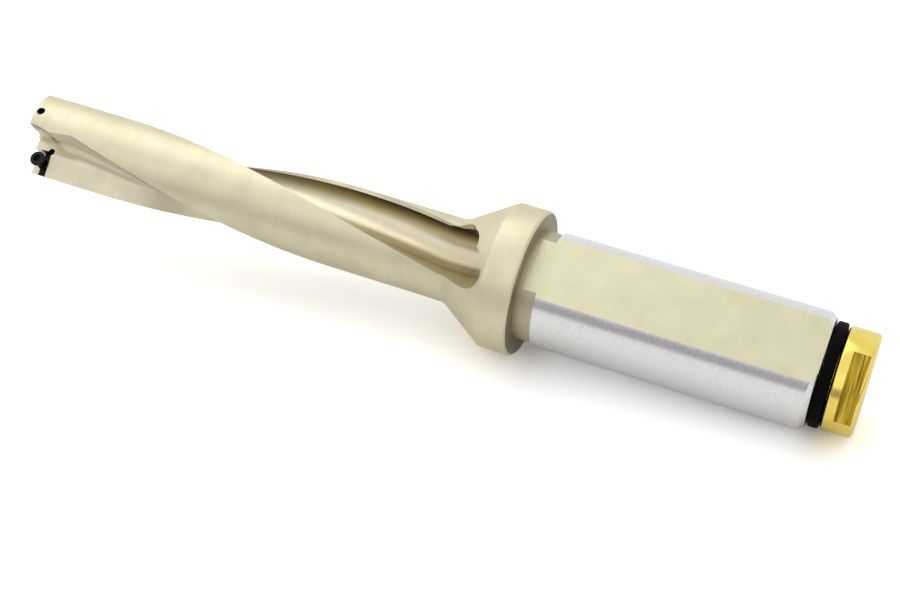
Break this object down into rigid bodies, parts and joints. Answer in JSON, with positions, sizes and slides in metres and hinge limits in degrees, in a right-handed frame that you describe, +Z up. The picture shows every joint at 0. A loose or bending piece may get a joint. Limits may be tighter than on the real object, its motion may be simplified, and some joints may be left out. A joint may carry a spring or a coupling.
{
  "type": "indexable drill",
  "caption": "Side-lock shank drill with two helical chip flutes, empty seats for screwed-on cutting inserts, and a brass coolant plug with a rubber seal.",
  "frame": {"origin": "middle of the clamping flat, where the screw of the tool holder presses on it", "axes": "X runs along the tool, from the drill point at -X to the plug at +X; Z is up; the clamping flat faces up and to the front, -Y"},
  "size_m": [0.155, 0.0254, 0.0257],
  "materials": {
    "nickel_plated_steel": "satin nickel plating, warm silver, with a ground shank",
    "black_oxide_steel": "black oxide, slightly oiled",
    "black_rubber": "matt black",
    "turned_brass": "bright turned brass"
  },
  "bodies": {
    "root": {"drill_body": "nickel_plated_steel", "outer_insert_screw": "black_oxide_steel", "inner_insert_screw": "black_oxide_steel", "seal_ring": "black_rubber", "coolant_plug": "turned_brass"}
  },
  "joints": []
}
